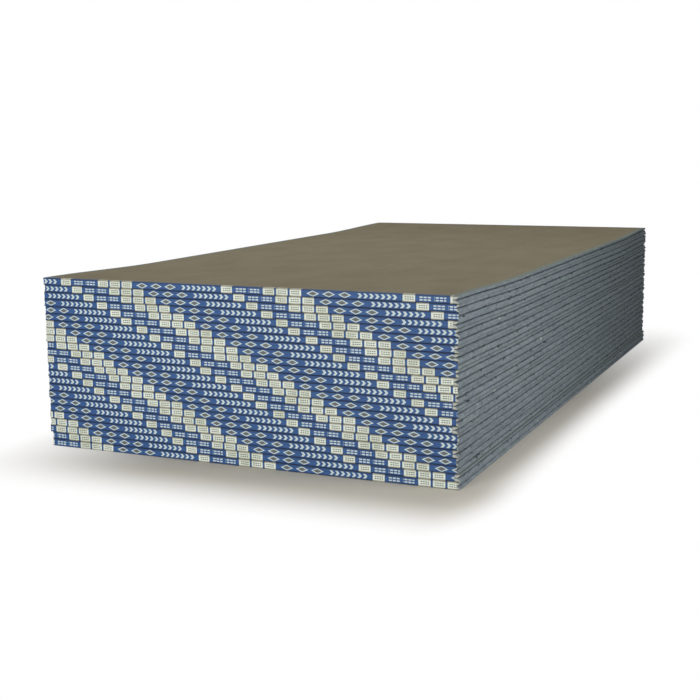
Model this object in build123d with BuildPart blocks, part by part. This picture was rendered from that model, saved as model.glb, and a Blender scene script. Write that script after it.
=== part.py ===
from build123d import *
import os
from math import pi, sin

# A stack of drywall sheets that lie flat, bound face to face in pairs by paper tape over both ends.
# Millimetres, +Z up. The origin is under the middle of the stack, on the surface that it lies on.
# The sheets run along Y, and the near end is at -Y.

# Sheet: gypsum board in paper, tapered towards its long edges on the face side
sheet_width = 1220.0
sheet_length = 2440.0
sheet_thickness = 10.0
taper_width = 50.0
taper_depth = 1.3
face_corner_radius = 1.5
back_corner_radius = 0.6

# End tape: a strip of printed paper over the ends of a pair, lapped onto both backs.
# The weight of the stack presses each lap into its back, to just below the surface.
tape_thickness = 0.2
tape_lap = 12.0
lap_clearance = 0.05
left_setback = 3.0
right_setback = 14.0

# Stack: pairs laid by hand, so each lies a little out of line with the next
pair_count = 24
pair_sway = 1.5
pair_stagger = 1.0
sheet_slip = 0.6
base_pair_count = 2
base_slip = 4.0

# Share of a full turn from one pair or sheet to the next, for each uneven size
sway_share = 0.382
stagger_share = 0.236
slip_share = 0.292
left_share = 0.414
right_share = 0.318

# Room that a cut has past the surface it goes through
cut_overrun = 1.0

# Sizes that follow from those above
pair_height = 2 * sheet_thickness
seat_depth = tape_thickness + lap_clearance
tape_height = pair_height - 2 * lap_clearance
edge_thickness = sheet_thickness - taper_depth


def uneven(number, step_share):
    """Repeatable scatter from -1 to 1 for a numbered pair or sheet."""
    return sin(2 * pi * step_share * number)


def centred(places):
    """The places, moved together so that the first and last along the axis are equally far from zero."""
    middle = (min(places) + max(places)) / 2
    return [place - middle for place in places]


pairs = range(pair_count)
sideways = []
for pair in pairs:
    slip = base_slip if pair < base_pair_count else 0
    for half in range(2):
        sheet_turn = uneven(2 * pair + half, slip_share)
        sideways.append(slip + pair_sway * uneven(pair, sway_share) + sheet_slip * sheet_turn)
sheet_places = centred(sideways)
pair_places = centred([pair_stagger * uneven(pair, stagger_share) for pair in pairs])

os.makedirs("parts", exist_ok=True)

# Sheets, from the lowest up. The lower one of a pair has its face up, and the upper one its face down.
for index, sheet_place in enumerate(sheet_places):
    pair, half = divmod(index, 2)
    facing = 1 - 2 * half
    back = (sheet_place, pair_places[pair], (pair + half) * pair_height)
    section_plane = Plane(origin=back, x_dir=(facing, 0, 0), z_dir=(0, -1, 0))
    back_plane = Plane(origin=back, x_dir=(1, 0, 0), z_dir=(0, 0, facing))
    with BuildPart() as sheet:
        with BuildSketch(section_plane) as section:
            with BuildLine():
                Polyline(
                    (-sheet_width / 2, 0),
                    (sheet_width / 2, 0),
                    (sheet_width / 2, edge_thickness),
                    (sheet_width / 2 - taper_width, sheet_thickness),
                    (taper_width - sheet_width / 2, sheet_thickness),
                    (-sheet_width / 2, edge_thickness),
                    close=True,
                )
            make_face()
            rows_of_corners = section.vertices().group_by(Axis.Y)
            fillet(rows_of_corners[0], back_corner_radius)
            fillet(rows_of_corners[1], face_corner_radius)
        extrude(amount=sheet_length / 2, both=True)
        with BuildSketch(back_plane):
            with GridLocations(0, sheet_length - tape_lap + cut_overrun, 1, 2):
                Rectangle(sheet_width + 2 * cut_overrun, tape_lap + cut_overrun)
        extrude(amount=seat_depth, mode=Mode.SUBTRACT)
    sheet.part.label = f"sheet_{index + 1:02d}"
    export_step(sheet.part, f"parts/{sheet.part.label}.step")

# End tapes: one strip for each pair, short of the sheets' corners by an uneven setback
for end_name, outwards in (("near_end_tapes", -1), ("far_end_tapes", 1)):
    with BuildPart() as tapes:
        for pair in pairs:
            middle = (sheet_places[2 * pair] + sheet_places[2 * pair + 1]) / 2
            left = left_setback * (1 + uneven(pair, left_share)) / 2
            right = right_setback * (1 + uneven(pair, right_share)) / 2
            strip_start = middle - sheet_width / 2 + left
            strip_length = sheet_width - left - right
            end_face = pair_places[pair] + outwards * sheet_length / 2
            height = (2 * pair + 1) * sheet_thickness
            outside = end_face + outwards * (tape_thickness - tape_lap) / 2
            inside = end_face - outwards * (tape_lap + cut_overrun) / 2
            with BuildSketch(Plane.YZ.offset(strip_start)):
                with Locations((outside, height)):
                    Rectangle(tape_lap + tape_thickness, tape_height)
                with Locations((inside, height)):
                    Rectangle(tape_lap + cut_overrun, pair_height - 2 * seat_depth, mode=Mode.SUBTRACT)
            extrude(amount=strip_length)
    tapes.part.label = end_name
    export_step(tapes.part, f"parts/{end_name}.step")
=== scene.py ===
"""A stack of drywall sheets, bound face to face in pairs by printed paper tape over both ends.

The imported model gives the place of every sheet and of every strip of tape. Here each of them is
worked out again as a numpy surface with the wear of real board, and dressed in procedural paper.
Metres, +Z up, the sheets run along Y, and the near end is at -Y.
"""
import logging
import math
from collections.abc import Iterable
from dataclasses import dataclass
from enum import Enum
from functools import reduce
from operator import add

import bpy
import numpy as np
from mathutils import Matrix, Vector


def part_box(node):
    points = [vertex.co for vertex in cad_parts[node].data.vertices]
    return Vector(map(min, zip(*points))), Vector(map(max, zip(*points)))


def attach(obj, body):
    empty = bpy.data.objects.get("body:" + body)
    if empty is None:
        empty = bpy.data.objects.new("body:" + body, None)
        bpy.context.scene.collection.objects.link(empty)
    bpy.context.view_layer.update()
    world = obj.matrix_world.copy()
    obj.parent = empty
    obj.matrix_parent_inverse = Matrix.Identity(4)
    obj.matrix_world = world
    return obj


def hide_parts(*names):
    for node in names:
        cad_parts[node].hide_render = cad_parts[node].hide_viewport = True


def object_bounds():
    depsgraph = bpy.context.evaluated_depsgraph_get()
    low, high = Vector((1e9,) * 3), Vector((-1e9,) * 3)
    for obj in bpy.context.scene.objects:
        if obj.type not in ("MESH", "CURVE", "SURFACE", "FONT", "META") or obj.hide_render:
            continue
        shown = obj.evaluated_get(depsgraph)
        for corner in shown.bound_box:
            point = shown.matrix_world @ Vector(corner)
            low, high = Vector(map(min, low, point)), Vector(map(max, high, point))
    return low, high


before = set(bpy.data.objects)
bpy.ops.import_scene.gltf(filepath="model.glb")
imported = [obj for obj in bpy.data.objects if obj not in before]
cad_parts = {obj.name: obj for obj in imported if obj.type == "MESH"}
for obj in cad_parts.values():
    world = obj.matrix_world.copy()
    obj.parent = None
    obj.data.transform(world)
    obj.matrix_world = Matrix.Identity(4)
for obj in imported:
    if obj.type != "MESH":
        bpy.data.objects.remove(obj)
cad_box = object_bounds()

log = logging.getLogger("drywall_stack")

IMAGE_SIDE = 700
FULL_TURN = 2 * math.pi
QUARTER_TURN = math.pi / 2
SHARP_ANGLE = math.radians(38)
NOISE_MIDDLE = 0.5

# Sockets of a Mix node that mixes colours, by number, because its names repeat
MIX_INPUTS = (0, 6, 7)
MIX_OUTPUT = 2

Colour = tuple[float, float, float, float]
Point = tuple[float, float, float]
Span = tuple[float, float]
Weights = tuple[float, ...]

WHITE: Colour = (1.0, 1.0, 1.0, 1.0)
ORIGIN: Point = (0.0, 0.0, 0.0)


def tint(red: float, green: float, blue: float) -> Colour:
    """Linear colour with full alpha, by the screen's standard curve.

    Args:
        red: Red on the screen, from 0 to 255.
        green: Green on the screen.
        blue: Blue on the screen.

    Returns:
        The colour for a node's socket.
    """
    shares = np.array([red, green, blue]) / 255
    linear = np.where(shares <= 0.04045, shares / 12.92, ((shares + 0.055) / 1.055) ** 2.4)
    return (*linear.tolist(), 1.0)


def wander(places: np.ndarray, seed: int, longest: float, shortest: float, waves: int = 7) -> np.ndarray:
    """Smooth repeatable scatter from about -1 to 1: a sum of sines of seeded lengths and phases.

    Args:
        places: Where the scatter is wanted, in metres along a line.
        seed: Seed of the lengths and phases.
        longest: Longest wave, in metres.
        shortest: Shortest wave, in metres.
        waves: How many sines are summed.

    Returns:
        One value for each place, in an array of the same shape.
    """
    rng = np.random.default_rng(seed)
    lengths = np.exp(rng.uniform(np.log(shortest), np.log(longest), waves))
    phases = rng.uniform(0, FULL_TURN, waves)
    turns = FULL_TURN * places[..., None] / lengths + phases
    return np.sin(turns).sum(axis=-1) / math.sqrt(2 * waves)


def as_share(scatter: np.ndarray) -> np.ndarray:
    """Scatter from -1 to 1 as a share from 0 to 1, cut off at both ends."""
    return 0.5 + 0.5 * np.clip(scatter, -1, 1)


class Sock:
    """A node's socket. Python's operators on it add Math nodes to its graph."""

    def __init__(self, graph: "Graph", socket: bpy.types.NodeSocket) -> None:
        """Keeps the socket and the graph that it belongs to."""
        self.graph = graph
        self.socket = socket

    def __getitem__(self, name: str) -> "Sock":
        """Another output of the same node."""
        return Sock(self.graph, self.socket.node.outputs[name])

    def math(self, operation: str, *others: "Sock | float") -> "Sock":
        """The result of a Math node whose first value is this socket."""
        return self.graph.add("ShaderNodeMath", {"operation": operation}, dict(enumerate((self, *others))))

    def turned(self, operation: str, other: float) -> "Sock":
        """The result of a Math node whose first value is a number and whose second is this socket."""
        return self.graph.add("ShaderNodeMath", {"operation": operation}, {0: other, 1: self})

    def __add__(self, other: "Sock | float") -> "Sock":
        """Sum."""
        return self.math("ADD", other)

    __radd__ = __add__

    def __sub__(self, other: "Sock | float") -> "Sock":
        """Difference."""
        return self.math("SUBTRACT", other)

    def __rsub__(self, other: float) -> "Sock":
        """A number less this socket."""
        return self.turned("SUBTRACT", other)

    def __mul__(self, other: "Sock | float") -> "Sock":
        """Product."""
        return self.math("MULTIPLY", other)

    __rmul__ = __mul__

    def __truediv__(self, other: "Sock | float") -> "Sock":
        """Quotient."""
        return self.math("DIVIDE", other)

    def __rtruediv__(self, other: float) -> "Sock":
        """A number divided by this socket."""
        return self.turned("DIVIDE", other)

    def __mod__(self, other: "Sock | float") -> "Sock":
        """Remainder, never negative."""
        return self.math("FLOORED_MODULO", other)

    def __gt__(self, other: "Sock | float") -> "Sock":
        """1 where this is the greater, else 0."""
        return self.math("GREATER_THAN", other)

    def __lt__(self, other: "Sock | float") -> "Sock":
        """1 where this is the smaller, else 0."""
        return self.math("LESS_THAN", other)

    def __abs__(self) -> "Sock":
        """Size without sign."""
        return self.math("ABSOLUTE")

    def most(self, other: "Sock | float") -> "Sock":
        """The greater of the two."""
        return self.math("MAXIMUM", other)

    def fade(self, low: float, high: float) -> "Sock":
        """Smooth step of this value.

        Args:
            low: Where the step is 0.
            high: Where the step is 1, which may be below the other.

        Returns:
            The step.
        """
        flip = high < low
        ends = {"From Min": min(low, high), "From Max": max(low, high)}
        reach = {"To Min": float(flip), "To Max": float(not flip)}
        settings = {"interpolation_type": "SMOOTHSTEP"}
        return self.graph.add("ShaderNodeMapRange", settings, {"Value": self, **ends, **reach})

    def between(self, low: float, high: float) -> "Sock":
        """1 where this lies between the two numbers, else 0."""
        return (self > low) * (self < high)


def blended(values: Iterable[Sock], weights: Weights) -> Sock:
    """Sum of the values, each times its weight."""
    return reduce(add, (value * weight for value, weight in zip(values, weights)))


@dataclass(frozen=True)
class Mottle:
    """Noise of one kind: its features a metre along each axis, its detail, and how rough that is."""

    scale: Point
    detail: float = 2.0
    rough: float = 0.5


@dataclass(frozen=True)
class Reveal:
    """How a value brings something out: none of it at the start, and a share of it at the full level."""

    start: float
    full: float
    share: float = 1.0

    def of(self, value: Sock) -> Sock:
        """The share that the value brings out, by a smooth step."""
        step = value.fade(self.start, self.full)
        return step if self.share == 1.0 else step * self.share


@dataclass(frozen=True)
class Slope:
    """A value that follows another in a straight line: its level where that is 0, and its rise."""

    level: float
    rise: float

    def of(self, value: Sock) -> Sock:
        """The value on the line."""
        return self.level + value * self.rise


class Graph:
    """The node tree of one material or world, and the few ways in which nodes are added to it."""

    def __init__(self, owner: bpy.types.Material | bpy.types.World) -> None:
        """Switches the owner's nodes on and clears them.

        Args:
            owner: The material or world.
        """
        owner.use_nodes = True
        self.tree = owner.node_tree
        self.tree.nodes.clear()

    def add(
        self,
        kind: str,
        settings: dict[str, object] | None = None,
        inputs: dict[str | int, "Sock | float | tuple"] | None = None,
        output: str | int = 0,
    ) -> Sock:
        """Adds any node.

        Args:
            kind: The node's type.
            settings: Its settings, which are set first.
            inputs: Values or links of its sockets, by name or number.
            output: Which output is wanted.

        Returns:
            That output, or the first input of a node that has no output.
        """
        node = self.tree.nodes.new(kind)
        for name, value in (settings or {}).items():
            setattr(node, name, value)
        for key, value in (inputs or {}).items():
            if isinstance(value, Sock):
                self.tree.links.new(value.socket, node.inputs[key])
            else:
                node.inputs[key].default_value = value
        return Sock(self, node.outputs[output] if node.outputs else node.inputs[0])

    def attribute(self, name: str, output: str = "Fac") -> Sock:
        """The value of one of the mesh's own attributes."""
        return self.add("ShaderNodeAttribute", {"attribute_name": name}, output=output)

    def place(self) -> Sock:
        """The place on the object, as Object coordinates; the Normal output is on the same node."""
        return self.add("ShaderNodeTexCoord", output="Object")

    def part_of(self, vector: Sock, axis: str) -> Sock:
        """One part of a vector, X, Y or Z; the other parts are on the same node."""
        return self.add("ShaderNodeSeparateXYZ", {}, {"Vector": vector}, output=axis)

    def vector(self, operation: str, first: Sock, second: Sock | Point) -> Sock:
        """The result of a Vector Math node on two vectors."""
        return self.add("ShaderNodeVectorMath", {"operation": operation}, {0: first, 1: second})

    def scaled(self, colour: Sock, factor: Sock) -> Sock:
        """A colour or vector times a value."""
        return self.add("ShaderNodeVectorMath", {"operation": "SCALE"}, {"Vector": colour, "Scale": factor})

    def mix(self, share: Sock | float, first: Sock | Colour, second: Sock | Colour) -> Sock:
        """The first colour, and the second in the given share."""
        inputs = dict(zip(MIX_INPUTS, (share, first, second)))
        return self.add("ShaderNodeMix", {"data_type": "RGBA"}, inputs, output=MIX_OUTPUT)

    def noise(self, place: Sock, mottle: Mottle) -> Sock:
        """Noise from 0 to 1.

        Args:
            place: Where it is read.
            mottle: Its kind.

        Returns:
            The noise.
        """
        stretched = self.vector("MULTIPLY", place, mottle.scale)
        inputs = {"Vector": stretched, "Scale": 1.0, "Detail": mottle.detail, "Roughness": mottle.rough}
        return self.add("ShaderNodeTexNoise", {"noise_dimensions": "3D"}, inputs)

    def bump(self, height: Sock, strength: float, distance: float) -> Sock:
        """Normal of a surface with the given relief, in metres for a height of 1."""
        inputs = {"Height": height, "Strength": strength, "Distance": distance}
        return self.add("ShaderNodeBump", {}, inputs)

    def paper(self, colour: Sock, roughness: Sock, normal: Sock, specular: float) -> None:
        """Ends a material in a Principled shader.

        Args:
            colour: Its colour.
            roughness: Its roughness.
            normal: Its relief.
            specular: Its specular level.
        """
        inputs = {
            "Base Color": colour,
            "Roughness": roughness,
            "Normal": normal,
            "Specular IOR Level": specular,
        }
        shader = self.add("ShaderNodeBsdfPrincipled", {}, inputs)
        self.add("ShaderNodeOutputMaterial", {}, {"Surface": shader})

    def seen_directly(self) -> Sock:
        """1 for the rays that show the backdrop: the camera's, reflected and refracted ones."""
        path = self.add("ShaderNodeLightPath", output="Is Camera Ray")
        return path.most(path["Is Glossy Ray"]).most(path["Is Transmission Ray"])


@dataclass(frozen=True)
class BoardReadings:
    """What a board's nodes read at a point: its place, the mesh's own values and the shared noises."""

    graph: Graph
    place: Sock
    girth: Sock
    depth: Sock
    tone: Sock
    wear: Sock
    fibre: Sock
    cloud: Sock
    streak: Sock
    grain: Sock


@dataclass(frozen=True)
class BoardPaper:
    """Paper of a gypsum board: brown back liner, grey face liner round the long edges, pale core."""

    name: str = "board_paper"
    specular: float = 0.08
    roughness: Slope = Slope(0.74, 0.2)
    bump_strength: float = 0.35
    bump_height: float = 0.0005
    # Weights of fibre, grain and wear
    relief_weights: Weights = (0.6, 0.3, 0.8)

    # Noises that the liners share
    fibre: Mottle = Mottle((900.0, 130.0, 900.0), 5.0, 0.6)
    cloud: Mottle = Mottle((9.0, 5.0, 60.0), 3.0)
    streak: Mottle = Mottle((70.0, 1.2, 240.0))
    grain: Mottle = Mottle((1500.0, 1500.0, 1500.0))

    # Back liner; weights of fibre, cloud and streak
    back_dark: Colour = tint(115, 107, 87)
    back_light: Colour = tint(134, 126, 105)
    back_fleck: Colour = tint(90, 82, 64)
    back_pale: Colour = tint(156, 148, 126)
    back_weights: Weights = (0.62, 0.28, 0.1)
    back_lightening: Reveal = Reveal(0.32, 0.68)
    flecks: Mottle = Mottle((420.0, 260.0, 420.0), 1.0)
    dark_flecks: Reveal = Reveal(0.68, 0.76, 0.55)
    pale_flecks: Reveal = Reveal(0.30, 0.24, 0.4)
    pale_grain: Reveal = Reveal(0.5, 0.75, 0.12)

    # Face liner; weights of fibre, cloud, streak and handling
    face_dark: Colour = tint(106, 115, 121)
    face_light: Colour = tint(128, 137, 143)
    face_green: Colour = tint(112, 126, 123)
    face_rubbed: Colour = tint(158, 165, 168)
    scuff: Colour = tint(44, 50, 54)
    face_weights: Weights = (0.2, 0.15, 0.25, 0.4)
    face_lightening: Reveal = Reveal(0.34, 0.66)
    greening: Reveal = Reveal(0.5, 0.75, 0.4)
    greening_tone: float = 0.08
    tone_reach: float = 0.04
    # Painted light: lifts the edge towards the face, on the rounded corners in the shaded grooves between
    # pairs
    lip_painted_light: Reveal = Reveal(0.5, 0.9, 0.07)
    handling: Mottle = Mottle((140.0, 38.0, 190.0), 4.0, 0.6)
    patches: Mottle = Mottle((60.0, 40.0, 110.0), 4.0, 0.65)
    patch_reach: float = 1.1
    rubs: Mottle = Mottle((170.0, 80.0, 260.0))
    rubbed: Reveal = Reveal(0.60, 0.70, 0.55)
    scuffs: Mottle = Mottle((95.0, 40.0, 130.0), 2.0, 0.55)
    scuffed: Reveal = Reveal(0.62, 0.66, 0.9)
    scuff_low: float = 0.25
    scuff_rise: Reveal = Reveal(0.25, 0.7, 0.75)
    chips: Mottle = Mottle((20.0, 19.0, 95.0), 3.0, 0.6)
    chipped: Reveal = Reveal(0.46, 0.60, 0.3)
    chip_rise: Reveal = Reveal(0.60, 0.84)

    # Lap of the face liner onto the back
    lap_dark: Colour = tint(112, 120, 113)
    lap_light: Colour = tint(124, 132, 124)
    lap_lightening: Reveal = Reveal(0.3, 0.7)
    lap_width: float = 0.018
    lap_wobble: float = 0.003
    lap_line: Mottle = Mottle((60.0, 14.0, 60.0))

    # Core, where it is cut or torn
    core: Colour = tint(190, 194, 184)
    core_grain: Colour = tint(164, 168, 158)
    core_grains: Reveal = Reveal(0.42, 0.68)
    liner_line: Colour = tint(120, 118, 106)
    liner_share: float = 0.045
    end_facing: float = 0.7
    tear_base: float = 0.4
    tear_level: float = 0.42
    least_wear: float = 0.12
    tear_share: float = 0.85

    def material(self) -> bpy.types.Material:
        """Builds the paper's node material, which reads the girth, depth, tone and wear of the mesh.

        Returns:
            The material, for the slots of all the sheets.
        """
        material = bpy.data.materials.new(self.name)
        at = self.readings(Graph(material))
        graph = at.graph
        wobble = self.lap_wobble * (graph.noise(at.place, self.lap_line) - NOISE_MIDDLE)
        paper = graph.mix(at.girth > self.lap_width + wobble, self.face_colour(at), self.back_colour(at))

        core = graph.mix(self.core_grains.of(at.grain), self.core, self.core_grain)
        torn = (at.wear * (self.tear_base + at.fibre) > self.tear_level) * (at.wear > self.least_wear)
        paper = graph.mix(torn * self.tear_share, paper, core)

        liner = (at.depth < self.liner_share).most(at.depth > 1 - self.liner_share)
        end = graph.mix(liner, core, self.liner_line)
        endward = graph.part_of(at.place["Normal"], "Y")
        colour = graph.mix(abs(endward) > self.end_facing, paper, end)

        relief = blended((at.fibre, at.grain, at.wear), self.relief_weights)
        normal = graph.bump(relief, self.bump_strength, self.bump_height)
        graph.paper(colour, self.roughness.of(at.fibre), normal, self.specular)
        return material

    def readings(self, graph: Graph) -> BoardReadings:
        """Adds the nodes that read the mesh, and the noises that both liners use.

        Args:
            graph: The material's graph.

        Returns:
            What is read. The girth is the distance from the long edge onto the back, below 0 off the
            back, the depth is the share of the thickness from the back, and the tone is from -1 to 1.
        """
        place = graph.place()
        return BoardReadings(
            graph=graph,
            place=place,
            girth=graph.attribute("girth"),
            depth=graph.attribute("depth"),
            tone=graph.attribute("tone"),
            wear=graph.attribute("wear"),
            fibre=graph.noise(place, self.fibre),
            cloud=graph.noise(place, self.cloud),
            streak=graph.noise(place, self.streak),
            grain=graph.noise(place, self.grain),
        )

    def back_colour(self, at: BoardReadings) -> Sock:
        """Brown back liner: fibres, faint roller streaks and cloudiness, dark and pale flecks of pulp.

        Args:
            at: What is read at a point.

        Returns:
            The colour of the back.
        """
        graph = at.graph
        mottle = blended((at.fibre, at.cloud, at.streak), self.back_weights)
        colour = graph.mix(self.back_lightening.of(mottle), self.back_dark, self.back_light)
        flecks = graph.noise(at.place, self.flecks)
        colour = graph.mix(self.dark_flecks.of(flecks), colour, self.back_fleck)
        colour = graph.mix(self.pale_flecks.of(flecks), colour, self.back_pale)
        return graph.mix(self.pale_grain.of(at.grain), colour, self.back_pale)

    def face_colour(self, at: BoardReadings) -> Sock:
        """Grey face liner round the long edges: each sheet its own tone, patches, rubs, scuffs and chips.

        Args:
            at: What is read at a point.

        Returns:
            The colour of the face liner, on the edge and on its lap.
        """
        graph = at.graph
        handling = graph.noise(at.place, self.handling)
        mottle = blended((at.fibre, at.cloud, at.streak, handling), self.face_weights)
        edge = graph.mix(self.face_lightening.of(mottle), self.face_dark, self.face_light)
        greening = self.greening.of(at.cloud + at.tone * self.greening_tone)
        edge = graph.mix(greening, edge, self.face_green)
        patches = (graph.noise(at.place, self.patches) - NOISE_MIDDLE) * self.patch_reach
        # The last term is painted light: it brightens the edge towards the face, where the grooves between
        # pairs are shaded
        edge = graph.scaled(edge, 1 + at.tone * self.tone_reach + patches + self.lip_painted_light.of(at.depth))
        rubbed = self.rubbed.of(graph.noise(at.place, self.rubs))
        edge = graph.mix(rubbed, edge, self.face_rubbed)
        scuffed = self.scuffed.of(graph.noise(at.place, self.scuffs))
        edge = graph.mix(scuffed * (self.scuff_low + self.scuff_rise.of(at.depth)), edge, self.scuff)
        chipped = self.chipped.of(graph.noise(at.place, self.chips))
        edge = graph.mix(chipped * self.chip_rise.of(at.depth), edge, self.scuff)
        lap = graph.mix(self.lap_lightening.of(mottle), self.lap_dark, self.lap_light)
        return graph.mix(at.girth > 0.0, edge, lap)


class Motif(Enum):
    """The motifs along one repeat of the tape's print: where each starts and ends, in metres."""

    BLOCKS = (0.0, 0.1100)
    LOZENGES = (0.1200, 0.2520)
    CHEVRONS = (0.2620, 0.3705)
    LONE_BLOCK = (0.3850, 0.4180)
    BARS = (0.4290, 0.4975)

    @property
    def start(self) -> float:
        """Where the motif starts along the repeat."""
        return self.value[0]

    def holds(self, along: Sock) -> Sock:
        """1 along the motif, else 0."""
        return along.between(*self.value)


@dataclass(frozen=True)
class TapePrint:
    """Printed paper tape: white paper, a blue ground, and plain marks in white and dark ink."""

    name: str = "tape_print"
    specular: float = 0.35
    roughness: Slope = Slope(0.5, 0.22)
    bump_strength: float = 0.3
    bump_height: float = 0.0004
    # Weights of fibre and dirt
    relief_weights: Weights = (0.5, 0.5)

    # Marks
    repeat: float = 0.508
    block_pitch: float = 0.0385
    block_width: float = 0.0325
    tick_span: Span = (0.0045, 0.0285)
    tick_pitch: float = 0.0062
    tick_width: float = 0.0046
    tick_rise: float = 0.0026
    tick_half_height: float = 0.0012
    lozenge_pitch: float = 0.0440
    lozenge_half_width: float = 0.0180
    lozenge_half_height: float = 0.0078
    lozenge_dot_share: float = 0.66
    chevron_pitch: float = 0.0155
    chevron_gap: float = 0.0082
    chevron_lead: float = 0.0055
    chevron_sweep: float = 0.9
    chevron_half_height: float = 0.0060
    bar_pitch: float = 0.0105
    bar_width: float = 0.0080
    bar_rise: float = 0.0032
    bar_half_height: float = 0.0018
    bar_group_pitch: float = 0.0385
    bar_group_width: float = 0.0315

    # Paper and inks
    fibre: Mottle = Mottle((700.0, 1500.0, 1.0), 4.0, 0.6)
    bleed: float = 0.0007
    white: Colour = tint(222, 229, 215)
    white_aged: Colour = tint(202, 209, 190)
    age: Mottle = Mottle((16.0, 16.0, 16.0), 3.0)
    aged: Reveal = Reveal(0.4, 0.75)
    blue: Colour = tint(39, 77, 130)
    blue_deep: Colour = tint(21, 50, 97)
    blue_thin: Colour = tint(61, 106, 149)
    density: Mottle = Mottle((26.0, 420.0, 1.0), 3.0)
    thin_ink: Reveal = Reveal(0.45, 0.8, 0.7)
    deep_ink: Reveal = Reveal(0.47, 0.28, 0.7)
    dark: Colour = tint(50, 46, 42)
    dark_ink: Slope = Slope(0.7, 0.3)
    knocked_out: Colour = tint(194, 208, 208)

    # Grime in patches, and painted shade towards the folds where the strips meet, by the distance from the
    # middle of the tape; both in the same dark colour
    grime_and_fold_shade: Colour = tint(24, 36, 60)
    grime_and_fold_shade_on_white: Colour = tint(128, 122, 104)
    dirt: Mottle = Mottle((55.0, 55.0, 210.0), 4.0, 0.65)
    soiled: Reveal = Reveal(0.66, 0.80, 0.3)
    fold_shade: Reveal = Reveal(0.0054, 0.0088)
    fold_shade_mottle: Slope = Slope(0.42, 0.75)

    def material(self) -> bpy.types.Material:
        """Builds the print's node material, which reads the run and rise of the mesh's print attribute.

        Returns:
            The material, for both rows of tapes.
        """
        material = bpy.data.materials.new(self.name)
        graph = Graph(material)
        place = graph.place()
        print_place = graph.attribute("print", output="Vector")
        run = graph.part_of(print_place, "X")
        fibre = graph.noise(print_place, self.fibre)
        spread = (fibre - NOISE_MIDDLE) * self.bleed
        along = (run + spread) % self.repeat
        rise = abs(run["Y"] + spread)
        block = self.block_shape(along)

        density = graph.noise(print_place, self.density)
        blue = graph.mix(self.thin_ink.of(density), self.blue, self.blue_thin)
        blue = graph.mix(self.deep_ink.of(density), blue, self.blue_deep)
        sheet = graph.mix(self.aged.of(graph.noise(place, self.age)), self.white, self.white_aged)
        colour = graph.mix(self.white_marks(along, rise), blue, self.knocked_out)
        colour = graph.mix(block, colour, sheet)
        colour = graph.mix(self.dark_marks(along, rise) * self.dark_ink.of(density), colour, self.dark)

        dirt = graph.noise(place, self.dirt)
        soil_and_shade = graph.mix(block, self.grime_and_fold_shade, self.grime_and_fold_shade_on_white)
        # Painted shade: the tape darkens towards its folds, where the strips meet, in the grime's colour
        colour = graph.mix(self.fold_shade.of(abs(run["Y"])) * self.fold_shade_mottle.of(dirt), colour, soil_and_shade)
        colour = graph.mix(self.soiled.of(dirt), colour, soil_and_shade)

        relief = blended((fibre, dirt), self.relief_weights)
        normal = graph.bump(relief, self.bump_strength, self.bump_height)
        graph.paper(colour, self.roughness.of(fibre), normal, self.specular)
        return material

    def block_shape(self, along: Sock) -> Sock:
        """White blocks of bare paper: a run of three with narrow blue gaps, and one by itself."""
        blocks = Motif.BLOCKS.holds(along).most(Motif.LONE_BLOCK.holds(along))
        return blocks * (along % self.block_pitch < self.block_width)

    def lozenge_reach(self, along: Sock, rise: Sock) -> Sock:
        """Reach from the middle of the nearest lozenge, which is 1 on its outline."""
        across = abs((along - Motif.LOZENGES.start) % self.lozenge_pitch - self.lozenge_pitch / 2)
        return across / self.lozenge_half_width + rise / self.lozenge_half_height

    def white_marks(self, along: Sock, rise: Sock) -> Sock:
        """White marks on the blue: lozenges, a row of chevrons, and two rows of bars in groups.

        Args:
            along: Place along the repeat, in metres.
            rise: Distance from the middle of the tape, in metres.

        Returns:
            1 on the marks, else 0.
        """
        lozenges = Motif.LOZENGES.holds(along) * (self.lozenge_reach(along, rise) < 1.0)
        start, end = Motif.CHEVRONS.value
        swept = along - start + rise * self.chevron_sweep
        chevrons = swept.between(self.chevron_lead, end - start) * (rise < self.chevron_half_height)
        chevrons = chevrons * (swept % self.chevron_pitch > self.chevron_gap)
        run = along - Motif.BARS.start
        bars = (run % self.bar_pitch < self.bar_width) * (run % self.bar_group_pitch < self.bar_group_width)
        bars = bars * (abs(rise - self.bar_rise) < self.bar_half_height) * Motif.BARS.holds(along)
        return lozenges.most(chevrons).most(bars)

    def dark_marks(self, along: Sock, rise: Sock) -> Sock:
        """Dark marks on the white: two lines of ticks in each block, and a dot in each lozenge.

        Args:
            along: Place along the repeat, in metres.
            rise: Distance from the middle of the tape, in metres.

        Returns:
            1 on the marks, else 0.
        """
        ticks = self.block_shape(along) * (along % self.block_pitch).between(*self.tick_span)
        ticks = ticks * (abs(rise - self.tick_rise) < self.tick_half_height)
        ticks = ticks * (along % self.tick_pitch < self.tick_width)
        dots = self.lozenge_reach(along, rise) < self.lozenge_dot_share
        return ticks.most(dots * Motif.LOZENGES.holds(along))


@dataclass(frozen=True)
class Bruises:
    """Knocks along the long edges of one sheet, as arrays with one entry a knock."""

    places: np.ndarray
    sides: np.ndarray
    heights: np.ndarray
    depths: np.ndarray
    lengths: np.ndarray
    torn: np.ndarray
    climb_share: float = 0.5
    least_climb: float = 0.0025

    def press(
        self, along: np.ndarray, height: np.ndarray, side: np.ndarray
    ) -> tuple[np.ndarray, np.ndarray]:
        """How far the knocks press the edge in: a sum of bell curves along the sheet and up its edge.

        Args:
            along: Place along the sheet of each station.
            height: Height above the back of each point of the section.
            side: Which long edge each point of the section is near, -1 or 1.

        Returns:
            The depth of the dent and the wear, one row a station and one column a point.
        """
        run = (along[:, None, None] - self.places) / self.lengths
        reach = np.maximum(self.lengths * self.climb_share, self.least_climb)
        climb = (height[None, :, None] - self.heights) / reach
        near = side[None, :, None] == self.sides
        bell = np.exp(-(run**2)) * np.exp(-(climb**2)) * near
        return (bell * self.depths).sum(axis=-1), (bell * self.torn).max(axis=-1)


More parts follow.
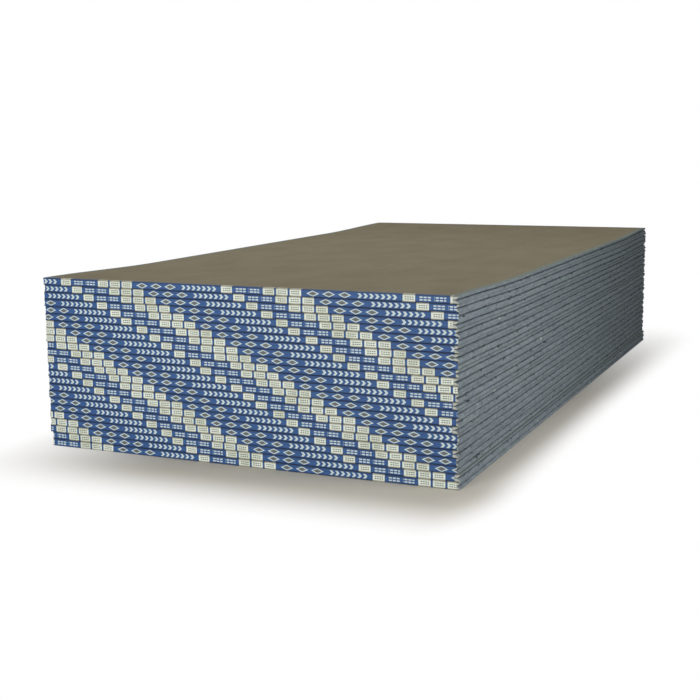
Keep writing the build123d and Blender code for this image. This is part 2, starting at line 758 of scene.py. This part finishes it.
@dataclass
class SheetStack:
    """The sheets, each a section carried along the sheet, with worn edges and knocked corners."""

    finish: BoardPaper
    tape_ends: np.ndarray
    count: int = 48
    slot: str = "sheet"

    # Section
    taper_width: float = 0.050
    taper_depth: float = 0.0013
    taper_break: float = 0.4
    edge_round_in: float = 0.0032
    edge_round_up: float = 0.0070
    edge_points: int = 8
    back_corner_radius: float = 0.0005
    back_points: tuple[float, ...] = (0.110, 0.032, 0.019, 0.006)
    middle_share: float = 0.24

    # Ends, with the seats of the tape
    end_setback: float = 0.0005
    end_rounding: float = 0.0018
    rounding_points: int = 5
    seat_length: float = 0.012
    seat_depth: float = 0.00025
    seat_step: float = 0.0001
    end_stations: tuple[float, ...] = (0.003, 0.006, 0.020, 0.036)
    plain_stations: int = 44
    station_decimals: int = 6
    least_gap: float = 0.00004

    # Sag between the ends
    lap_thickness: float = 0.0002
    sag_reach: float = 0.55

    # Wander of the long edges: longest and shortest wave, and a seed for each edge
    edge_wander: float = 0.00035
    drift_waves: Span = (1.6, 0.16)
    drift_seeds: tuple[int, int] = (500, 900)
    edge_falloff: float = 0.004

    # Knocks: the least and the most, of their number and of each size
    knock_count: tuple[int, int] = (2, 5)
    knock_depth: Span = (0.0003, 0.0014)
    knock_length: Span = (0.003, 0.012)
    knock_reach: float = 2.0
    knock_points: int = 7
    torn_share: float = 0.45
    torn_wear: Span = (0.4, 1.0)
    wear_falloff: float = 0.006

    # Crushed corners: shares by end, near and far, and by hand, left and right
    crush: Span = (0.0060, 0.0110)
    crush_shares: tuple[Span, Span] = ((0.10, 1.0), (0.12, 0.08))
    crush_past_tape: float = 0.002
    crush_reach: float = 0.009
    crush_falloff: float = 0.010
    crush_seed: int = 31
    tip_reach: float = 0.007
    tone_seed: int = 77

    def section(self, width: float, thickness: float) -> tuple[np.ndarray, np.ndarray, np.ndarray]:
        """Section of a sheet, counter-clockwise from the middle of the back with the face up.

        The right half runs out along the back, round the back corner, up the edge, which turns in
        towards the face by a quarter of an ellipse, and up the taper; the left half is its mirror
        image, run backwards.

        Args:
            width: Width of the sheet.
            thickness: Thickness of the sheet.

        Returns:
            For each point, its distance from the nearer long edge, its height above the back, and the
            side that it is on.
        """
        back = self.back_corner_radius
        bend = back * (1 - math.cos(QUARTER_TURN / 2))
        middle = width * self.middle_share
        climb = self.taper_depth / self.taper_width
        edge_top = thickness - self.taper_depth + self.edge_round_in * climb
        turn = np.linspace(0, QUARTER_TURN, self.edge_points)
        right_in = np.concatenate([
            [middle, *self.back_points, back, bend, 0.0],
            self.edge_round_in * (1 - np.cos(turn)),
            [self.taper_width * self.taper_break, self.taper_width, middle],
        ])
        right_up = np.concatenate([
            np.zeros(len(self.back_points) + 2),
            [bend, back],
            edge_top - self.edge_round_up * (1 - np.sin(turn)),
            [thickness - self.taper_depth * (1 - self.taper_break), thickness, thickness],
        ])
        inset = np.concatenate([right_in, right_in[::-1]])
        height = np.concatenate([right_up, right_up[::-1]])
        side = np.repeat([1.0, -1.0], len(right_in))
        return inset, height, side

    def knocks(self, number: int, length: float, thickness: float) -> Bruises:
        """Draws the knocks of one sheet, a few along its edges and one at each end.

        Args:
            number: Number of the sheet, which seeds the draw.
            length: Length of the sheet.
            thickness: Thickness of the sheet.

        Returns:
            The knocks.
        """
        rng = np.random.default_rng(number)
        number_along = int(rng.integers(*self.knock_count, endpoint=True))
        shares = np.concatenate([rng.uniform(-0.5, 0.5, number_along), [-0.5, 0.5]])
        places = shares * length
        total = len(places)
        return Bruises(
            places=places,
            sides=rng.choice([-1.0, 1.0], total),
            heights=rng.uniform(0, thickness - self.taper_depth, total),
            depths=rng.uniform(*self.knock_depth, total),
            lengths=rng.uniform(*self.knock_length, total),
            torn=(rng.random(total) < self.torn_share) * rng.uniform(*self.torn_wear, total),
        )

    def stations(self, length: float, knocks: Bruises) -> np.ndarray:
        """Places of the section along the sheet: an even row, with more at the ends and at each knock.

        Args:
            length: Length of the sheet.
            knocks: The sheet's knocks.

        Returns:
            The places, in order, from the middle of the sheet.
        """
        half = length / 2 - self.end_setback
        turn = np.linspace(0, QUARTER_TURN, self.rounding_points)
        rounding = self.end_rounding * (1 - np.cos(turn))
        seat = self.seat_length - self.end_setback
        seat_sides = [seat - self.seat_step, seat + self.seat_step]
        from_end = np.concatenate([rounding, self.end_stations, seat_sides])
        spread = np.linspace(-self.knock_reach, self.knock_reach, self.knock_points)
        around = knocks.places[:, None] + knocks.lengths[:, None] * spread
        plain = np.linspace(-half, half, self.plain_stations)
        every = np.concatenate([plain, from_end - half, half - from_end, around.ravel()])
        every = np.unique(np.round(np.clip(every, -half, half), self.station_decimals))
        return every[np.concatenate([[True], np.diff(every) > self.least_gap])]

    def lifted(self, from_end: np.ndarray) -> tuple[np.ndarray, np.ndarray]:
        """How the back lies: lifted by the tape's seat and by the rounding of the end, a quarter circle.

        Away from its ends the sheet settles, by a smooth step of the distance from the end: three of
        its squares less two of its cubes. There the back is lifted by one lap of tape, and so meets
        the back of the next pair.

        Args:
            from_end: Distance of each station from the nearer end.

        Returns:
            The lift of the back, and the share by which the sheet has settled, one value a station.
        """
        reach = np.clip(self.end_rounding - from_end, 0, self.end_rounding)
        rounding = self.end_rounding - np.sqrt(self.end_rounding**2 - reach**2)
        step = np.clip(from_end / self.sag_reach, 0, 1)
        settled = step**2 * (3 - 2 * step)
        lift = rounding + self.seat_depth * (from_end < self.seat_length - self.end_setback)
        return np.maximum(lift, self.lap_thickness * settled), settled

    def crushed(self, number: int, bare: float) -> np.ndarray:
        """How far in each corner is crushed: a seeded draw, but little more than the tape leaves bare.

        Args:
            number: Number of the sheet, which seeds the draw.
            bare: Width of the near right corner that the tape leaves bare.

        Returns:
            The depths, by end, near and far, and by hand, left and right.
        """
        depths = np.random.default_rng(number + self.crush_seed).uniform(*self.crush, (2, 2))
        return np.minimum(depths * np.array(self.crush_shares), bare + self.crush_past_tape)

    def mesh(self, name: str, low: Vector, high: Vector, facing: int, number: int) -> bpy.types.Mesh:
        """Carries the section along the sheet and writes the mesh with its girth, depth, tone and wear.

        At each station the back is lifted, and the long edges are pressed in by a slow wander, by the
        knocks, and at the corners by a crush that falls off from the end and grows towards the face.
        Where the sheet has settled, it sags by the thickness of all the laps of tape below it.

        Args:
            name: Name of the mesh.
            low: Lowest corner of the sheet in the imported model.
            high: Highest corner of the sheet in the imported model.
            facing: 1 for a sheet with its face up, -1 with its face down.
            number: Number of the sheet from the lowest, 1, up; it seeds the sheet's wear.

        Returns:
            The mesh, in place.
        """
        width, length, thickness = high - low
        centre = (low + high) / 2
        pair = (number - 1) // 2
        inset, height, side = self.section(width, thickness)
        knocks = self.knocks(number, length, thickness)
        along = self.stations(length, knocks)

        from_end = length / 2 - self.end_setback - abs(along)
        lift, settled = self.lifted(from_end)
        sag = (2 * pair + 1) * self.lap_thickness * settled

        drift = [wander(along, number + seed, *self.drift_waves) for seed in self.drift_seeds]
        drift = self.edge_wander * as_share(np.stack(drift, axis=1))
        slack = np.where(side > 0, drift[:, :1], drift[:, 1:])
        dent, wear = knocks.press(along, height, side)
        pressed = inset + (slack + dent) * np.exp(-inset / self.edge_falloff)

        near_depths, far_depths = self.crushed(number, high.x - self.tape_ends[pair])
        right_hand = (side * facing > 0).astype(int)
        crush = np.where(along[:, None] < 0, near_depths[right_hand], far_depths[right_hand])
        squeeze = crush * np.exp(-from_end / self.crush_reach)[:, None] * (height / thickness) ** 2
        pressed = pressed + squeeze * np.exp(-inset / self.crush_falloff)
        tip = crush / max(self.crush) * np.exp(-from_end / self.tip_reach)[:, None]
        wear = np.maximum(wear, tip * (1 - height / thickness))

        across = side * (width / 2 - pressed) * facing + centre.x
        raised = np.maximum(height, lift[:, None])
        upward = (low.z + raised if facing > 0 else high.z - raised) - sag[:, None]
        endways = np.broadcast_to(along[:, None], across.shape) + centre.y
        rings = np.stack([across, endways, upward], axis=-1)

        girth = np.where(height <= 0, inset, -height)
        tone = float(np.random.default_rng(number + self.tone_seed).uniform(-1, 1))
        shape = rings.shape[:2]
        values = {
            "girth": np.broadcast_to(girth, shape),
            "depth": np.broadcast_to(height / thickness, shape),
            "tone": np.full(shape, tone),
            "wear": wear * np.exp(-inset / self.wear_falloff),
        }
        return lofted(name, rings[None], values)

    def build(self) -> list[bpy.types.Object]:
        """Makes every sheet in the place of its node.

        Returns:
            The sheets, from the lowest up.
        """
        material = self.finish.material()
        sheets = []
        for number in range(1, self.count + 1):
            node = f"sheet_{number:02d}"
            low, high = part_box(node)
            facing = 1 if number % 2 else -1
            mesh = self.mesh(f"board_{number:02d}", low, high, facing, number)
            sheets.append(placed(mesh, material, node))
        return sheets


class End(Enum):
    """The ends of the stack: the node of its tapes, and which way it faces along Y."""

    NEAR = ("near_end_tapes", -1)
    FAR = ("far_end_tapes", 1)

    @property
    def node(self) -> str:
        """The node of the end's tapes."""
        return self.value[0]

    @property
    def outwards(self) -> int:
        """Which way the end faces along Y, -1 or 1."""
        return self.value[1]


@dataclass
class EndTapes:
    """The strips of tape at one end, each a folded paper section carried along the end of its pair."""

    end: End
    slot: str = "end_tape"
    pair_height: float = 0.020

    # Section
    thickness: float = 0.0002
    lap: float = 0.012
    lap_points: int = 3
    fold_radius: float = 0.0019
    fold_points: int = 6
    web_points: int = 9
    stations: int = 56

    # Hollow and wrinkle of the web, with its longest and shortest wave
    hollow: float = 0.00022
    hollow_reach: float = 0.0022
    hollow_steady: float = 0.7
    wrinkle: float = 0.00012
    wrinkle_waves: Span = (0.5, 0.05)
    wrinkle_seed: int = 40
    web_margin: float = 0.0008

    # Cut ends, with the longest and shortest wave of their line
    ragged: float = 0.0007
    cut_waves: Span = (0.03, 0.006)
    cut_seed: int = 300

    # Shift of the print from pair to pair
    print_step: float = 0.041
    print_jitter: float = 0.006
    print_seed: int = 21

    def strips(self) -> tuple[np.ndarray, np.ndarray, np.ndarray]:
        """Reads the place of each strip from the node's points, sorted by the pair that they are at.

        Returns:
            The lowest corners, the highest corners, and the numbers of the pairs.
        """
        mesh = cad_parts[self.end.node].data
        points = np.zeros(len(mesh.vertices) * 3)
        mesh.vertices.foreach_get("co", points)
        points = points.reshape(-1, 3)
        pair = np.floor(points[:, 2] / self.pair_height).astype(int)
        pairs = np.unique(pair)
        low = np.stack([points[pair == one].min(axis=0) for one in pairs])
        high = np.stack([points[pair == one].max(axis=0) for one in pairs])
        return low, high, pairs

    def section(self, height: float) -> tuple[np.ndarray, np.ndarray, np.ndarray]:
        """Closed section of a strip: its outer line from lap to lap, then its inner line back.

        Each line runs along the lower lap, a quarter circle, the web, a quarter circle and the upper
        lap; the inner line has the same centres and a radius less by the paper's thickness.

        Args:
            height: Height of the strip over its folds.

        Returns:
            For each point, its distance out from the end of the sheets, its height from the middle,
            and its way along the paper from the middle.
        """
        turn = np.linspace(0, QUARTER_TURN, self.fold_points)
        web = np.linspace(-1, 1, self.web_points + 2)[1:-1]
        centre_out = self.thickness - self.fold_radius
        centre_up = height / 2 - self.fold_radius
        lap_out = np.linspace(-self.lap, centre_out, self.lap_points + 1)[:-1]
        lines = []
        for radius in (self.fold_radius, self.fold_radius - self.thickness):
            out = np.concatenate([lap_out, centre_out + radius * np.sin(turn)])
            lap_up = np.full(self.lap_points, centre_up + radius)
            up = np.concatenate([lap_up, centre_up + radius * np.cos(turn)])
            out = np.concatenate([out, np.full(self.web_points, centre_out + radius), out[::-1]])
            up = np.concatenate([-up, web * centre_up, up[::-1]])
            lines.append((out, up))
        (outer_out, outer_up), (inner_out, inner_up) = lines
        step = np.hypot(np.diff(outer_out), np.diff(outer_up))
        way = np.concatenate([[0.0], np.cumsum(step)])
        way = way - way[-1] / 2
        return (
            np.concatenate([outer_out, inner_out[::-1]]),
            np.concatenate([outer_up, inner_up[::-1]]),
            np.concatenate([way, way[::-1]]),
        )

    def mesh(self) -> bpy.types.Mesh:
        """Carries the section along all the strips at once and writes one mesh with its print attribute.

        The web is drawn in by a bell-shaped hollow over the joint of its two sheets and by a slow
        wrinkle, and the ends of the strip are cut a little out of line.

        Returns:
            The mesh, in place.
        """
        low, high, pairs = self.strips()
        outwards = self.end.outwards
        height = float((high - low)[0, 2])
        out, up, way = self.section(height)
        share = np.linspace(0, 1, self.stations)

        start, finish = low[:, 0, None, None], high[:, 0, None, None]
        cut = np.stack([wander(up, self.cut_seed + int(pair), *self.cut_waves) for pair in pairs])
        cut = self.ragged * as_share(cut)[:, None, :]
        along = start + cut + (finish - start - 2 * cut) * share[None, :, None]

        face = (low[:, 1] if outwards < 0 else high[:, 1]) - outwards * self.thickness
        at_web = np.clip((out + self.fold_radius) / self.fold_radius, 0, 1)
        at_web = at_web * (abs(up) < height / 2 - self.web_margin)
        rough = np.stack([
            wander(row, self.wrinkle_seed + int(pair), *self.wrinkle_waves)
            for row, pair in zip(along[:, :, 0], pairs)
        ])[:, :, None]
        bell = np.exp(-((up / self.hollow_reach) ** 2))
        drawn = self.hollow * bell * (self.hollow_steady + (1 - self.hollow_steady) * rough)
        drawn = drawn + self.wrinkle * as_share(rough)
        endways = face[:, None, None] + outwards * (out - drawn * at_web)

        middle = ((low + high) / 2)[:, 2, None, None]
        upward = middle + np.broadcast_to(up, along.shape)
        rings = np.stack([along, endways, upward], axis=-1)

        jitter = np.random.default_rng(self.print_seed).uniform(-1, 1, len(pairs)) * self.print_jitter
        phase = (self.print_step * pairs + jitter)[:, None, None]
        run = -outwards * along + phase
        rise = np.broadcast_to(way, along.shape)
        values = {"print": np.stack([run, rise, np.zeros_like(run)], axis=-1)}
        return lofted(f"tapes_{self.end.name.lower()}", rings, values, inside_out=outwards > 0)

    def build(self, material: bpy.types.Material) -> bpy.types.Object:
        """Makes the strips in the place of their node."""
        return placed(self.mesh(), material, self.end.node)


def lofted(
    name: str, rings: np.ndarray, values: dict[str, np.ndarray], inside_out: bool = False
) -> bpy.types.Mesh:
    """Joins rings of points into closed bodies: quads from ring to ring, and a face over each end.

    Args:
        name: Name of the mesh.
        rings: Points, by body, station along it, point round the ring, and axis.
        values: Attributes of the points, by name, each a value or a vector a point.
        inside_out: Whether the rings run the other way round, so that the faces are turned.

    Returns:
        The mesh, smooth, with sharp edges where it turns by more than a set angle.
    """
    bodies, stations, points = rings.shape[:3]
    index = np.arange(bodies * stations * points).reshape(bodies, stations, points)
    here, beyond = index[:, :-1], index[:, 1:]
    quads = np.stack(
        [here, beyond, np.roll(beyond, -1, axis=2), np.roll(here, -1, axis=2)], axis=-1
    ).reshape(-1, 4)
    first, last = index[:, 0], index[:, -1, ::-1]
    if inside_out:
        quads, first, last = quads[:, ::-1], first[:, ::-1], last[:, ::-1]
    mesh = bpy.data.meshes.new(name)
    faces = quads.tolist() + first.tolist() + last.tolist()
    mesh.from_pydata(rings.reshape(-1, 3).tolist(), [], faces)
    for key, value in values.items():
        vector = value.ndim == rings.ndim
        kind, field_name = ("FLOAT_VECTOR", "vector") if vector else ("FLOAT", "value")
        data = mesh.attributes.new(key, kind, "POINT").data
        data.foreach_set(field_name, np.ascontiguousarray(value, dtype=np.float32).ravel())
    mesh.polygons.foreach_set("use_smooth", np.ones(len(mesh.polygons), dtype=bool))
    mesh.set_sharp_from_angle(angle=SHARP_ANGLE)
    mesh.update()
    return mesh


def placed(mesh: bpy.types.Mesh, material: bpy.types.Material, node: str) -> bpy.types.Object:
    """Puts a mesh into the scene as the piece that stands for a node.

    Args:
        mesh: The piece's mesh, already in place.
        material: Its material.
        node: The node that it replaces.

    Returns:
        The piece.
    """
    mesh.materials.append(material)
    piece = bpy.data.objects.new(mesh.name, mesh)
    bpy.context.scene.collection.objects.link(piece)
    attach(piece, "root")
    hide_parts(node)
    return piece


@dataclass(frozen=True)
class Lamp:
    """One soft lamp: a panel that faces a point."""

    name: str
    place: Point
    aim: Point
    width: float
    height: float
    power: float

    def build(self) -> bpy.types.Object:
        """Makes the lamp and turns it to face its point.

        Returns:
            The lamp.
        """
        data = bpy.data.lights.new(self.name, "AREA")
        data.shape = "RECTANGLE"
        data.size = self.width
        data.size_y = self.height
        data.energy = self.power
        lamp = bpy.data.objects.new(self.name, data)
        bpy.context.scene.collection.objects.link(lamp)
        lamp.location = self.place
        heading = Vector(self.aim) - Vector(self.place)
        lamp.rotation_euler = heading.to_track_quat("-Z", "Y").to_euler()
        return lamp


@dataclass(frozen=True)
class Viewpoint:
    """The camera: where it stands, how it is turned, and where its axis meets the picture."""

    place: Point = (1.5288, -3.9182, 0.8419)
    yaw: float = math.radians(-23.361)
    pitch: float = math.radians(-9.315)
    roll: float = math.radians(-0.470)
    focal_pixels: float = 1198.9
    axis_pixel: Span = (365.0, 340.0)
    sensor: float = 36.0

    def build(self) -> bpy.types.Object:
        """Makes the camera from its heading, turned about that by the roll, and shifts its frame.

        Returns:
            The camera.
        """
        level = math.cos(self.pitch)
        ahead = Vector((math.sin(self.yaw) * level, math.cos(self.yaw) * level, math.sin(self.pitch)))
        right = Vector((math.cos(self.yaw), -math.sin(self.yaw), 0.0))
        above = right.cross(ahead)
        right, above = (
            right * math.cos(self.roll) + above * math.sin(self.roll),
            above * math.cos(self.roll) - right * math.sin(self.roll),
        )
        turn = Matrix((right, above, -ahead)).transposed().to_4x4()
        data = bpy.data.cameras.new("camera")
        data.sensor_width = self.sensor
        data.lens = self.sensor * self.focal_pixels / IMAGE_SIDE
        data.shift_x = 0.5 - self.axis_pixel[0] / IMAGE_SIDE
        data.shift_y = self.axis_pixel[1] / IMAGE_SIDE - 0.5
        camera = bpy.data.objects.new("camera", data)
        bpy.context.scene.collection.objects.link(camera)
        camera.matrix_world = Matrix.Translation(self.place) @ turn
        return camera


@dataclass
class Studio:
    """A pale floor that fades to white, a white surround and soft lamps."""

    half_stack: Point
    ambient: float = 0.09
    floor_half: float = 30.0
    floor_drop: float = 0.0002
    floor_colour: Colour = (0.66, 0.615, 0.53, 1.0)
    floor_bounce: Colour = (0.18, 0.18, 0.17, 1.0)
    floor_grit: Mottle = Mottle((40.0, 40.0, 1.0), 4.0)
    floor_roughness: Slope = Slope(0.8, 0.1)
    floor_specular: float = 0.1

    # Fade of the floor to white: by the distance from the stack, by the place along it and across it
    fade_scale: Point = (2.4, 1.0, 0.0)
    near_stack: Reveal = Reveal(0.39, 0.09)
    widening: Reveal = Reveal(-0.8, 1.2, 0.25)
    far_fade: Reveal = Reveal(-0.1, 1.9)
    left_fade: Reveal = Reveal(-0.15, -0.85)
    right_fade: Reveal = Reveal(0.55, 0.70, 0.09)

    lamps: tuple[Lamp, ...] = (
        Lamp("lamp_overhead", (-0.4, 0.05, 3.3), (0.0, 0.0, 0.3), 2.6, 2.6, 61.0),
        Lamp("lamp_front", (-0.5, -4.6, 0.80), (0.0, -1.2, 0.25), 1.5, 1.5, 103.0),
        Lamp("lamp_side", (2.5, -1.15, 0.69), (0.6, -0.80, 0.25), 1.3, 0.8, 33.5),
        Lamp("lamp_back", (-0.4, 4.2, 0.24), (-0.2, 1.2, 0.24), 1.4, 0.44, 78.0),
        Lamp("lamp_left", (-3.0, 0.2, 0.24), (-0.6, 0.1, 0.24), 2.4, 0.44, 52.0),
    )

    def shadow_share(self, graph: Graph, place: Sock) -> Sock:
        """Share of the floor's own shading, which fades with the distance from the stack's outline.

        Args:
            graph: The floor's graph.
            place: The place on the floor.

        Returns:
            1 where the floor shows as it is lit, 0 where it is plain white.
        """
        beyond = graph.vector("ABSOLUTE", place, ORIGIN)
        beyond = graph.vector("SUBTRACT", beyond, self.half_stack)
        beyond = graph.vector("MAXIMUM", beyond, ORIGIN)
        beyond = graph.vector("MULTIPLY", beyond, self.fade_scale)
        away = graph.add("ShaderNodeVectorMath", {"operation": "LENGTH"}, {0: beyond}, output="Value")
        across = graph.part_of(place, "X")
        away = away * (1 - self.widening.of(across["Y"]))
        shaded = self.near_stack.of(away) * (1 - self.right_fade.of(across))
        return shaded * (1 - self.left_fade.of(across)) * (1 - self.far_fade.of(across["Y"]))

    def floor(self) -> bpy.types.Object:
        """Makes the floor: diffuse by the stack, where it takes the shadow, and plain white further off.

        Returns:
            The floor.
        """
        side, level = self.floor_half, -self.floor_drop
        corners = [(-side, -side, level), (side, -side, level), (side, side, level), (-side, side, level)]
        mesh = bpy.data.meshes.new("floor")
        mesh.from_pydata(corners, [], [(0, 1, 2, 3)])
        material = bpy.data.materials.new("floor")
        graph = Graph(material)
        place = graph.place()
        seen = graph.seen_directly()
        white = (1 - self.shadow_share(graph, place)) * seen
        inputs = {
            "Base Color": graph.mix(seen, self.floor_bounce, self.floor_colour),
            "Roughness": self.floor_roughness.of(graph.noise(place, self.floor_grit)),
            "Specular IOR Level": self.floor_specular,
        }
        matte = graph.add("ShaderNodeBsdfPrincipled", {}, inputs)
        glow = graph.add("ShaderNodeEmission", {}, {"Color": WHITE, "Strength": 1.0})
        both = graph.add("ShaderNodeMixShader", {}, {0: white, 1: matte, 2: glow})
        graph.add("ShaderNodeOutputMaterial", {}, {"Surface": both})
        mesh.materials.append(material)
        floor = bpy.data.objects.new("floor", mesh)
        bpy.context.scene.collection.objects.link(floor)
        return floor

    def surround(self) -> bpy.types.World:
        """Makes the world: dim and even as light, plain white where it is seen directly.

        Returns:
            The world.
        """
        world = bpy.data.worlds.new("surround")
        graph = Graph(world)
        dim = graph.add("ShaderNodeBackground", {}, {"Color": WHITE, "Strength": self.ambient})
        white = graph.add("ShaderNodeBackground", {}, {"Color": WHITE, "Strength": 1.0})
        both = graph.add("ShaderNodeMixShader", {}, {0: graph.seen_directly(), 1: dim, 2: white})
        graph.add("ShaderNodeOutputWorld", {}, {"Surface": both})
        bpy.context.scene.world = world
        return world

    def build(self) -> None:
        """Makes the floor, the surround and the lamps."""
        self.floor()
        self.surround()
        for lamp in self.lamps:
            lamp.build()


def main() -> None:
    """Builds the studio, the camera, the sheets and the tapes, and reports each piece."""
    logging.basicConfig(level=logging.INFO, format="%(name)s: %(message)s")
    scene = bpy.context.scene
    scene.view_settings.view_transform = "Standard"
    low, high = cad_box
    Studio(half_stack=tuple((high - low) / 2)).build()
    scene.camera = Viewpoint().build()

    near_tapes, far_tapes = (EndTapes(end=end) for end in End)
    _, highest, _ = near_tapes.strips()
    pieces = SheetStack(finish=BoardPaper(), tape_ends=highest[:, 0]).build()
    tape_paper = TapePrint().material()
    pieces += [row.build(tape_paper) for row in (near_tapes, far_tapes)]
    for piece in pieces:
        mesh = piece.data
        log.info("%s has %d points and %d faces", piece.name, len(mesh.vertices), len(mesh.polygons))


if __name__ == "__main__":
    main()
